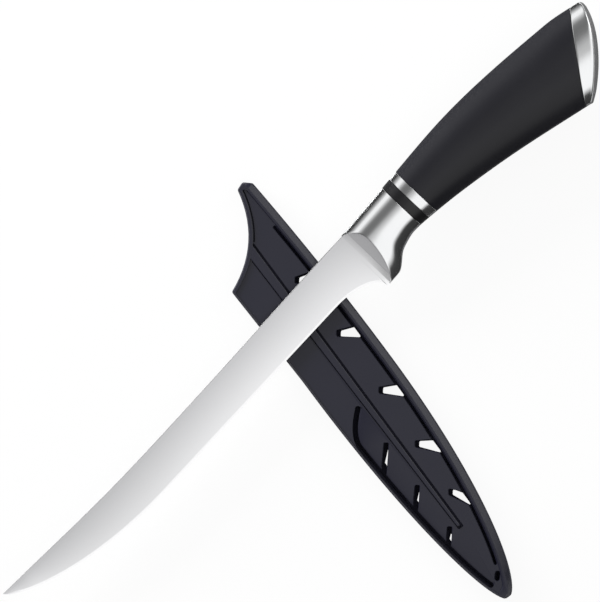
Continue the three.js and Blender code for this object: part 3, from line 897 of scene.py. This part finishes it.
def sheath_outline():
    """The cover's outline, and how far its bevel reaches in from each point."""
    edge = side_line(edge_side, NOSE_SETBACK, SHEATH_LENGTH - HORN_CHAMFER)
    throat = [Vector((SHEATH_LENGTH, edge_side(SHEATH_LENGTH) + HORN_CHAMFER))] + throat_line(0)
    spine = side_line(spine_side, NOSE_SETBACK, SHEATH_LENGTH - THROAT_BACK)[::-1][1:]
    bevels = [near_nose(EDGE_BEVEL, p.x) for p in edge]
    bevels += [THROAT_BEVEL] * len(throat)
    bevels += [near_nose(SPINE_BEVEL, p.x) for p in spine]
    return edge + throat + spine, bevels


def panel_outline(share):
    """The front panel's outline inside the rim, from the panel's floor at 0 to the rim's top at 1."""
    edge_end = SHEATH_LENGTH - PANEL_FROM_HORN
    spine_end = SHEATH_LENGTH - THROAT_BACK - THROAT_RIM
    edge = side_line(edge_side, PANEL_FROM_TIP, edge_end, EDGE_RIM - EDGE_RIM_SLOPE * share)
    throat = throat_line(THROAT_RIM - THROAT_RIM_SLOPE * share)
    spine = side_line(spine_side, PANEL_FROM_TIP, spine_end, SPINE_RIM - SPINE_RIM_SLOPE * share)
    return edge + throat + spine[::-1]


def blade_slot_outline():
    past = SHEATH_LENGTH + CUT_MARGIN
    edge = side_line(edge_side, 2 * EDGE_RAIL, past, EDGE_RAIL)
    spine = side_line(spine_side, 2 * EDGE_RAIL, past, SPINE_RAIL)
    return edge + spine[::-1]


def edge_slot_line():
    return side_line(edge_side, EDGE_SLOT_FROM_TIP, SHEATH_LENGTH - EDGE_SLOT_FROM_HORN, EDGE_SLOT_INSET)


def spine_slot_line():
    """The middle of the slot beside the spine rail, which bends inwards at its throat end."""
    run = side_line(spine_side, SPINE_SLOT_FROM_TIP, BEND_START, SPINE_SLOT_INSET)
    corner = Vector((BEND_CORNER, run[-1].y))
    stop = Vector((BEND_END, BEND_REACH))
    bend = [run[-1].lerp(corner, u).lerp(corner.lerp(stop, u), u) for u in steps(0, 1, END_STEPS)[1:]]
    return run + bend


def vent_outline(i, draft):
    """A wedge that opens onto the slot by the edge rail, leans to the throat and narrows with depth."""
    share = i / (len(VENTS_FROM_TIP) - 1)
    end = VENTS_FROM_TIP[i]
    mouth = end - between(VENT_LEAN_AT_TIP, VENT_LEAN_AT_THROAT, share)
    half = between(VENT_MOUTH_AT_TIP, VENT_MOUTH_AT_THROAT, share) / 2
    outer = edge_side(mouth) + VENT_MOUTH_INSET + draft
    inner = min(edge_side(end) + VENT_REACH, VENT_INNER_LIMIT) - draft
    corners = [
        Vector((mouth - half + draft, outer)),
        Vector((mouth + half, outer)),
        Vector((end + VENT_END / 2 - draft, inner - VENT_END_SLANT)),
        Vector((end - VENT_END / 2 - draft / 2, inner)),
    ]
    return rounded(corners, VENT_ROUND)


def slit_outline(i):
    """A narrow notch in the front that opens onto the slot beside the spine rail."""
    end = SLIT_FROM_TIP + SLIT_PITCH * i
    mouth = end - SLIT_RUN - SLIT_RUN_STEP * i
    inner = min(SLIT_REACH, spine_side(end) - SLIT_SPINE_ROOM)
    outer = spine_side(mouth) - SLIT_MOUTH_INSET
    corners = [
        Vector((end - SLIT_WIDTH / 2, inner - SLIT_END_SLANT)),
        Vector((end + SLIT_WIDTH / 2, inner)),
        Vector((mouth + SLIT_MOUTH / 2, outer)),
        Vector((mouth - SLIT_MOUTH / 2, outer)),
    ]
    return rounded(corners, VENT_ROUND)


def back_slit_outline(i):
    """The smaller notch behind each one in the front."""
    end = SLIT_FROM_TIP + SLIT_PITCH * i - BACK_SLIT_SHIFT
    outer = spine_side(end) - BACK_SLIT_INSETS[i]
    inner = min(SLIT_REACH + BACK_SLIT_RISE, outer - BACK_SLIT_LEAST)
    mouth = end - BACK_SLIT_LEAN * (outer - inner)
    corners = [
        Vector((end, inner)),
        Vector((mouth, outer)),
        Vector((mouth - BACK_SLIT_MOUTH, outer)),
        Vector((end - BACK_SLIT_MOUTH / 2, inner - BACK_SLIT_MOUTH / 2)),
    ]
    return rounded(corners, VENT_ROUND / 2)


def drain_outline():
    """A short oblong hole near the tip, along the same lean as the notches."""
    along = Vector((DRAIN_LEAN, -1)).normalized() * ((DRAIN_LENGTH - DRAIN_WIDTH) / 2)
    centre = Vector((DRAIN_FROM_TIP, DRAIN_OFFSET))
    return swept([centre - along, centre + along], DRAIN_WIDTH / 2, DRAIN_WIDTH / 2)


def rib_outline(edge_room=0.0, spine_room=0.0, short=0.0, inset=0.0):
    """The long rib, which widens into the throat's rim, with room for a groove at its sides and tip end."""
    corners = []
    tip_end = RIB_FROM_TIP - edge_room
    throat_end = SHEATH_LENGTH - RIB_FROM_HORN - short
    for side, room in ((-1, edge_room), (1, spine_room)):
        at_tip = RIB_OFFSET_AT_TIP + side * (RIB_WIDTH_AT_TIP / 2 + room)
        at_throat = RIB_OFFSET_AT_THROAT + side * (RIB_WIDTH_AT_THROAT / 2 + room)
        ends = [Vector((tip_end, at_tip)), Vector((throat_end - RIB_END_SLANT * at_throat, at_throat))]
        corners += ends[::-side]
    return rounded(grown(corners, -inset), RIB_CORNER)


def throat_groove_outline():
    """A groove inside the throat's rim, from the horn to the rib."""
    outer = throat_line(THROAT_RIM + SEAM_GAP)[:THROAT_GROOVE_STEPS]
    return outer + throat_line(THROAT_RIM + THROAT_GROOVE)[:THROAT_GROOVE_STEPS][::-1]


def pierced(outline, low, lip_height, high):
    """A cutter for a hole whose lip is eased at one height."""
    wide = grown(outline, LIP)
    return stacked("hole", [(outline, low), (outline, lip_height - LIP), (wide, lip_height), (wide, high)])


def sheath_shell(name, outward):
    """One half of the cover's outside, from the parting line up at 1 or down at -1."""
    outline, bevels = sheath_outline()
    shoulder = SHEATH_SPLIT - BEVEL_HEIGHT
    levels = []
    for share, chamfer, height in (
        (0, PARTING_CHAMFER, 0),
        (0, 0, PARTING_CHAMFER),
        (0, 0, shoulder - BEVEL_BLEND),
        (BEVEL_START, 0, shoulder + BEVEL_START_RISE),
        (BEVEL_CREST, 0, SHEATH_SPLIT - BEVEL_CREST_DROP),
        (1, 0, SHEATH_SPLIT),
    ):
        moved = offset(outline, [-share * bevel - chamfer for bevel in bevels])
        corner = between(SHEATH_CORNER, RIM_CORNER, share)
        levels.append((rounded(moved, corner, like=outline), SHEATH_SPLIT + outward * height))
    return stacked(name, levels[::outward])


def make_sheath_front():
    half = sheath_shell("sheath_front_dressed", 1)
    above = SHEATH_THICKNESS + CUT_MARGIN
    below = SHEATH_SPLIT - CUT_MARGIN
    slot_roof = SHEATH_WALL + SHEATH_SLOT
    slot = blade_slot_outline()
    cut(half, stacked("slot", [(slot, below), (slot, slot_roof)]))
    rim = [
        (0, PANEL_HEIGHT),
        (RIM_STEEP_SHARE, SHEATH_THICKNESS - RIM_CHAMFER),
        (1, SHEATH_THICKNESS),
        (1, above),
    ]
    foot = panel_outline(0)
    walls = [(rounded(panel_outline(share), PANEL_CORNER, like=foot), z) for share, z in rim]
    cut(half, stacked("panel", walls))
    for groove in (rib_outline(EDGE_GROOVE, SPINE_GROOVE, GROOVE_SHORT), throat_groove_outline()):
        cut(half, stacked("groove", [(groove, PANEL_HEIGHT - GROOVE_DEPTH), (groove, above)]))
    joined(half, stacked("rib", [
        (rib_outline(), slot_roof + RIB_ROOT),
        (rib_outline(), PANEL_HEIGHT),
        (rib_outline(inset=RIB_SIDE_DRAFT), SHEATH_THICKNESS - RIM_CHAMFER),
        (rib_outline(inset=RIB_TOP_INSET), SHEATH_THICKNESS - RIB_BELOW_RIM),
    ]))
    line = spine_slot_line()
    reach = SPINE_SLOT_WIDTH / 2
    narrow = swept(line, reach, reach)
    wide = swept(line, reach + SPINE_SLOT_SLOPE, reach)
    cut(half, stacked("spine_slot", [
        (narrow, SHEATH_SPLIT + SPINE_LEDGE),
        (narrow, PANEL_HEIGHT - SPINE_SLOT_DROP),
        (wide, PANEL_HEIGHT),
        (wide, above),
    ]))
    holes = [swept(edge_slot_line(), EDGE_SLOT_WIDTH / 2, EDGE_SLOT_WIDTH / 2), drain_outline()]
    holes += [vent_outline(i, 0) for i in range(len(VENTS_FROM_TIP))]
    holes += [slit_outline(i) for i in range(SLIT_COUNT)]
    return cut(half, *[pierced(hole, below, PANEL_HEIGHT, above) for hole in holes])


def make_sheath_back():
    half = sheath_shell("sheath_back_dressed", -1)
    above = SHEATH_SPLIT + CUT_MARGIN
    slot = blade_slot_outline()
    cut(half, stacked("slot", [(slot, SHEATH_WALL), (slot, above)]))
    holes = [vent_outline(i, VENT_DRAFT) for i in range(len(VENTS_FROM_TIP))]
    holes += [back_slit_outline(i) for i in range(SLIT_COUNT)]
    for hole in holes:
        wide = grown(hole, LIP)
        cut(half, stacked("hole", [(wide, -CUT_MARGIN), (wide, 0), (hole, LIP), (hole, above)]))
    return half


# Shader maths

class Field:
    """A shader socket that Python's operators work on. Numbers and fields mix freely."""

    def __init__(self, tree, socket=None):
        self.tree = tree
        self.socket = socket

    def node(self, kind, settings=None, sockets=None, output=0):
        """Adds a node, sets its settings, then fills its sockets with values or fields."""
        made = self.tree.nodes.new(kind)
        for key, value in (settings or {}).items():
            if key == "stops":
                fill_ramp(made.color_ramp, value)
            else:
                setattr(made, key, value)
        for key, value in (sockets or {}).items():
            if isinstance(value, Field):
                self.tree.links.new(value.socket, made.inputs[key])
            else:
                made.inputs[key].default_value = value
        return Field(self.tree, made.outputs[output]) if made.outputs else None

    def maths(self, operation, first, second=0.0):
        return self.node("ShaderNodeMath", {"operation": operation}, {0: first, 1: second})

    def __add__(self, other):
        return self.maths("ADD", self, other)

    def __sub__(self, other):
        return self.maths("SUBTRACT", self, other)

    def __mul__(self, other):
        return self.maths("MULTIPLY", self, other)

    def __truediv__(self, other):
        return self.maths("DIVIDE", self, other)

    def __radd__(self, other):
        return self.maths("ADD", other, self)

    def __rsub__(self, other):
        return self.maths("SUBTRACT", other, self)

    def __rmul__(self, other):
        return self.maths("MULTIPLY", other, self)

    def held(self):
        """This field kept between 0 and 1."""
        return self.maths("MINIMUM", self.maths("MAXIMUM", self, 0), 1)

    def part(self, index):
        """One of a vector's three parts."""
        return self.node("ShaderNodeSeparateXYZ", None, {0: self}, index)

    def mixed(self, low, high):
        """A colour between low and high by this field."""
        settings = {"data_type": "RGBA"}
        sockets = {0: self, 6: low, 7: high}
        return self.node("ShaderNodeMix", settings, sockets, 2)


def fill_ramp(ramp, stops):
    while len(ramp.elements) < len(stops):
        ramp.elements.new(1)
    for element, (place, level) in zip(ramp.elements, stops):
        element.position = place
        element.color = (level, level, level, 1)


def surface(name):
    """A new material, its field and its principled shader."""
    material = bpy.data.materials.new(name)
    material.use_nodes = True
    tree = material.node_tree
    return material, Field(tree), tree.nodes["Principled BSDF"]


def feed(shader, **sockets):
    """Fills the shader's sockets by name, with values or fields."""
    for key, value in sockets.items():
        socket = shader.inputs[key.replace("_", " ")]
        if isinstance(value, Field):
            value.tree.links.new(value.socket, socket)
        else:
            socket.default_value = value


def grain(field, stretch, scale, detail=2.0, roughness=0.5):
    """Noise in the piece's own millimetres, stretched by its own factor along each axis."""
    place = field.node("ShaderNodeTexCoord", output="Object")
    size = tuple(s / MM for s in stretch)
    mapped = field.node("ShaderNodeMapping", {"vector_type": "POINT"}, {"Vector": place, "Scale": size})
    sockets = {"Vector": mapped, "Scale": scale, "Detail": detail, "Roughness": roughness}
    return field.node("ShaderNodeTexNoise", {"noise_dimensions": "3D"}, sockets)


def bumped(field, height, distance, strength=1.0):
    sockets = {"Height": height, "Distance": distance * MM, "Strength": strength}
    return field.node("ShaderNodeBump", None, sockets)


def knife_place(field):
    """Where a point lies on the knife in millimetres: along it from the bolster, across it from the spine."""
    place = field.node("ShaderNodeTexCoord", output="Object")
    along = place.part(0) - KNIFE_DATUM.x
    across = place.part(1) - KNIFE_DATUM.y
    return along / MM, across / MM


def flatness(field):
    """1 where a surface lies flat, 0 where it stands upright."""
    facing = field.node("ShaderNodeNewGeometry", output="Normal")
    return field.maths("ABSOLUTE", facing.part(2))


def upright_share(field):
    """1 on upright sides, 0 where a surface lies flatter."""
    return 1 - ((flatness(field) - DULL_UNTIL) / (POLISHED_FROM - DULL_UNTIL)).held()


def blade_depth(field, along):
    """The blade's depth from spine to edge along it: less towards the tip, more at the heel."""
    past_waist = ((along - BLADE_LENGTH + BELLY_LENGTH) / BELLY_LENGTH).held()
    belly = field.maths("POWER", 1 - past_waist * past_waist, BELLY_FULLNESS)
    heel = (1 - along / HEEL_TONE_LENGTH).held()
    return LEAST_DEPTH + WAIST_DEPTH * belly + (HEEL_DEPTH - WAIST_DEPTH) * heel


def satin_steel():
    """Ground blade steel: fine lines from spine to edge, painted shade that darkens it towards the spine, a
    honed edge painted lighter as a highlight, a plunge facet painted darker towards the spine, a dull
    unground heel.
    """
    material, field, shader = surface("satin_steel")
    lines = grain(field, (7, 0.12, 0.3), 1, 3)
    clouds = grain(field, (0.03, 0.06, 0.06), 1, 2)
    tone = 0.5 * lines + 0.5 * clouds
    along, across = knife_place(field)
    facet = ((along - PLUNGE_END) / PLUNGE_LINE).held()
    ground = ((along - PLUNGE_START) / PLUNGE_LINE).held()
    honed = ((HONED_FROM - flatness(field)) / (HONED_FROM - HONED_FULL)).held()
    # Painted shade and highlight: the steel is painted darker towards the spine and lighter towards the edge.
    steel = (across / blade_depth(field, along)).held().mixed(STEEL_SHADED_AT_SPINE, STEEL_LIT_AT_EDGE)
    # Painted highlight: the tilted honed edge bevel is painted lighter.
    steel = honed.mixed(steel, HONED_HIGHLIGHT_STEEL)
    steel = (GLEAM_SHARE * tone).mixed(steel, WHITE)
    # Painted shade and highlight: the plunge facet is painted darker towards the spine and lighter towards
    # the edge.
    plunge = (across / HEEL_DEPTH).held().mixed(PLUNGE_SHADED_AT_SPINE, PLUNGE_LIT_AT_EDGE)
    unground = facet.mixed(UNGROUND_STEEL, plunge)
    feed(
        shader,
        Base_Color=ground.mixed(unground, steel),
        Metallic=1.0,
        Roughness=0.12 + 0.04 * lines + 0.04 * clouds + 0.1 * (1 - ground),
        Normal=bumped(field, lines, 0.004),
    )
    return material


def polished_steel():
    """Polished bolster steel with the faint marks that buffing leaves, and upright sides that are rougher and
    painted darker as shade.
    """
    material, field, shader = surface("polished_steel")
    marks = grain(field, (0.4, 5, 5), 1, 3)
    clouds = grain(field, (0.1, 0.1, 0.1), 1, 2)
    polish = clouds.mixed(POLISH_LOW, POLISH_HIGH)
    upright = upright_share(field)
    feed(
        shader,
        # Painted shade: upright sides are painted darker.
        Base_Color=upright.mixed(polish, SHADED_UPRIGHT_STEEL),
        Metallic=1.0,
        Roughness=0.1 + 0.03 * marks + 0.03 * clouds + 0.4 * upright,
        Specular_Tint=POLISH_EDGE_TINT,
        Normal=bumped(field, marks, 0.002),
    )
    return material


def moulded_black(name, colour, gloss, roughness, grain_size, inside_height=0.0):
    """Moulded plastic with a fine spark-eroded grain, duller on upright sides and below inside_height."""
    material, field, shader = surface(name)
    pebble = grain(field, (1, 1, 1), 1 / grain_size, 2)
    clouds = grain(field, (0.05, 0.05, 0.05), 1, 3)
    upright = upright_share(field)
    place = field.node("ShaderNodeTexCoord", output="Object")
    height = place.part(2) / MM
    inside = (inside_height - height).held()
    dull = field.maths("MAXIMUM", upright, inside)
    feed(
        shader,
        Base_Color=(BLOOM_SHARE * clouds).mixed(colour, PLASTIC_BLOOM),
        Specular_IOR_Level=gloss,
        Roughness=field.maths("MAXIMUM", roughness + 0.08 * clouds + 0.05 * pebble, dull),
        Normal=bumped(field, pebble, 0.006),
    )
    return material


def zinc_steel():
    """Bright zinc plating on the hidden fastening."""
    material, field, shader = surface("zinc_steel")
    spangle = grain(field, (0.6, 0.6, 0.6), 1, 2)
    feed(
        shader,
        Base_Color=spangle.mixed(ZINC_LOW, ZINC_HIGH),
        Metallic=1.0,
        Roughness=0.38 + 0.12 * spangle,
        Normal=bumped(field, spangle, 0.004),
    )
    return material


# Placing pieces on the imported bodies

BLADE_LOW, BLADE_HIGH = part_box("blade")
KNIFE_DATUM = Vector((
    BLADE_HIGH.x - BLADE_LENGTH * MM,
    BLADE_LOW.y + TIP_RISE * MM,
    (BLADE_LOW.z + BLADE_HIGH.z) / 2,
))
KNIFE_PLACE = Matrix.Translation(KNIFE_DATUM) @ Matrix.Scale(MM, 4)
CROSSING = Vector((CROSS_FROM_BOLSTER, 0, 0))
SHEATH_RUN = Vector((math.cos(CROSS_ANGLE), math.sin(CROSS_ANGLE), 0)) * CROSS_FROM_SHEATH_TIP
SHEATH_TIP = KNIFE_DATUM + (CROSSING - SHEATH_RUN) * MM
SHEATH_TIP.z = 0
SHEATH_PLACE = (
    Matrix.Translation(SHEATH_TIP) @ Matrix.Rotation(CROSS_ANGLE, 4, "Z") @ Matrix.Scale(MM, 4)
)


def dress(piece, place, body, node, material, sharp):
    """Turns a piece made in millimetres into its node's dressed stand-in."""
    mesh = piece.data
    mesh.transform(place)
    mesh.materials.clear()
    mesh.materials.append(material)
    mesh.shade_smooth()
    mesh.set_sharp_from_angle(angle=math.radians(sharp))
    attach(piece, body)
    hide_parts(node)


blade_finish = satin_steel()
polish = polished_steel()
spacer_finish = moulded_black("spacer_black", SPACER_BLACK, gloss=0.4, roughness=0.24, grain_size=0.25)
grip_finish = moulded_black("grip_black", GRIP_BLACK, gloss=0.25, roughness=0.24, grain_size=0.22)
cover_finish = moulded_black(
    "cover_black", COVER_BLACK, gloss=0.52, roughness=0.28, grain_size=0.25, inside_height=COVER_INSIDE
)
zinc = zinc_steel()

spacer_front = -BOLSTER_LENGTH
collar_front = spacer_front - SPACER_LENGTH
spacer = make_band("front_spacer_dressed", spacer_front, SPACER_LENGTH)
collar = make_band("collar_ring_dressed", collar_front, COLLAR_LENGTH)

dress(make_blade(), KNIFE_PLACE, "knife", "blade", blade_finish, BLADE_CREASE)
dress(make_bolster(), KNIFE_PLACE, "knife", "bolster", polish, HANDLE_CREASE)
dress(spacer, KNIFE_PLACE, "knife", "front_spacer", spacer_finish, HANDLE_CREASE)
dress(collar, KNIFE_PLACE, "knife", "collar_ring", polish, HANDLE_CREASE)
dress(make_grip(), KNIFE_PLACE, "knife", "grip", grip_finish, HANDLE_CREASE)
dress(make_end_cap(), KNIFE_PLACE, "knife", "end_cap", polish, HANDLE_CREASE)
front, back = make_sheath_front(), make_sheath_back()
dress(front, SHEATH_PLACE, "cover", "sheath_front_half", cover_finish, COVER_CREASE)
dress(back, SHEATH_PLACE, "cover", "sheath_back_half", cover_finish, COVER_CREASE)

for node in ("tang_stud", "stud_washer", "stud_nut"):
    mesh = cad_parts[node].data
    mesh.materials.clear()
    mesh.materials.append(zinc)


# Floor, light and camera

def make_floor():
    points = [(x * FLOOR_HALF, y * FLOOR_HALF, 0) for x, y in ((-1, -1), (1, -1), (1, 1), (-1, 1))]
    floor = new_piece("floor", points, [(0, 1, 2, 3)])
    floor.location.z = -FLOOR_DROP
    material, field, shader = surface("pale_floor")
    speckle = grain(field, (0.01, 0.01, 0.01), 1, 2)
    feed(shader, Base_Color=speckle.mixed(FLOOR_LOW, FLOOR_HIGH), Roughness=FLOOR_ROUGHNESS)
    feed(shader, Specular_IOR_Level=0.0)
    mirrored = field.node("ShaderNodeLightPath", output="Is Glossy Ray")
    mirrored = mirrored + field.node("ShaderNodeLightPath", output="Is Transmission Ray")
    seen = field.node("ShaderNodeLightPath", output="Is Camera Ray") + FLOOR_IN_MIRRORS * mirrored
    white = field.node("ShaderNodeEmission", None, {"Color": WHITE, "Strength": 1.0})
    lit = Field(material.node_tree, shader.outputs[0])
    sockets = {0: FLOOR_WHITENESS * seen, 1: lit, 2: white}
    whitened = field.node("ShaderNodeMixShader", None, sockets)
    material.node_tree.links.new(whitened.socket, material.node_tree.nodes["Material Output"].inputs[0])
    floor.data.materials.append(material)


# Brightness of the light tent across the knife, from the spine side's horizon to the edge side's
# as (degrees from straight up, level)
TENT_LEVELS = [
    (-90, 0.03), (-80, 0.05), (-68, 0.5), (-60, 1.05), (-49, 1.05), (-41, 0.6),
    (-31, 0.22), (-20, 0.17), (-10, 0.2), (-6, 0.38), (-2.5, 0.8), (-0.5, 0.92),
    (3, 1.07), (9, 1.1), (44, 1.1), (56, 0.05), (90, 0.03),
]
TENT_END_START = 0.4
TENT_END_STOP = 0.9
TENT_END_DIM = 0.95


def make_tent():
    world = bpy.data.worlds.new("light_tent")
    world.use_nodes = True
    bpy.context.scene.world = world
    field = Field(world.node_tree)
    ray = field.node("ShaderNodeTexCoord", output="Generated")
    aside, across, up = [ray.part(i) for i in range(3)]
    share = field.maths("ARCTAN2", across, up) / math.pi + 0.5
    stops = [(degrees / 180 + 0.5, level) for degrees, level in TENT_LEVELS]
    ends = ((field.maths("ABSOLUTE", aside) - TENT_END_START) / (TENT_END_STOP - TENT_END_START)).held()
    level = field.node("ShaderNodeValToRGB", {"stops": stops}, {0: share})
    level = (ends * TENT_END_DIM).mixed(level, BLACK)
    back = world.node_tree.nodes["Background"]
    world.node_tree.links.new(level.socket, back.inputs["Color"])


def make_lamp(name, place, size, power, mirrored):
    """A soft rectangular lamp that faces the origin. Only a mirrored one shows in glossy surfaces."""
    lamp = bpy.data.lights.new(name, "AREA")
    lamp.shape = "RECTANGLE"
    lamp.size, lamp.size_y = size
    lamp.energy = power
    made = bpy.data.objects.new(name, lamp)
    made.location = place
    made.rotation_euler = (-Vector(place)).to_track_quat("-Z", "Y").to_euler()
    made.visible_glossy = mirrored
    bpy.context.scene.collection.objects.link(made)


def make_camera():
    along = Vector((math.cos(VIEW_TURN), -math.sin(VIEW_TURN), 0))
    up = Vector((math.sin(VIEW_TURN), math.cos(VIEW_TURN), 0))
    toward = Vector((0, 0, 1)) * math.cos(VIEW_TILT) + along * math.sin(VIEW_TILT)
    right = along * math.cos(VIEW_TILT) - Vector((0, 0, 1)) * math.sin(VIEW_TILT)
    tip = KNIFE_PLACE @ Vector((BLADE_LENGTH, -TIP_RISE, 0))
    pixel = MM_PER_PIXEL * MM
    aside = (TIP_PIXEL[0] - PHOTO_WIDTH / 2) * pixel
    below = (TIP_PIXEL[1] - PHOTO_HEIGHT / 2) * pixel
    target = tip - right * aside + up * below
    camera = bpy.data.cameras.new("camera")
    camera.sensor_fit = "VERTICAL"
    camera.sensor_height = SENSOR
    camera.lens = SENSOR * CAMERA_DISTANCE / (PHOTO_HEIGHT * pixel)
    camera.clip_end = CAMERA_REACH
    made = bpy.data.objects.new("camera", camera)
    turn = Matrix((right, up, toward)).transposed().to_4x4()
    made.matrix_world = Matrix.Translation(target + toward * CAMERA_DISTANCE) @ turn
    bpy.context.scene.collection.objects.link(made)
    bpy.context.scene.camera = made


make_floor()
make_tent()
make_lamp("handle_side_box", mirrored=True, **SIDE_BOX)
make_lamp("spine_side_fill", mirrored=False, **SPINE_FILL)
make_camera()
bpy.context.scene.view_settings.view_transform = "Standard"
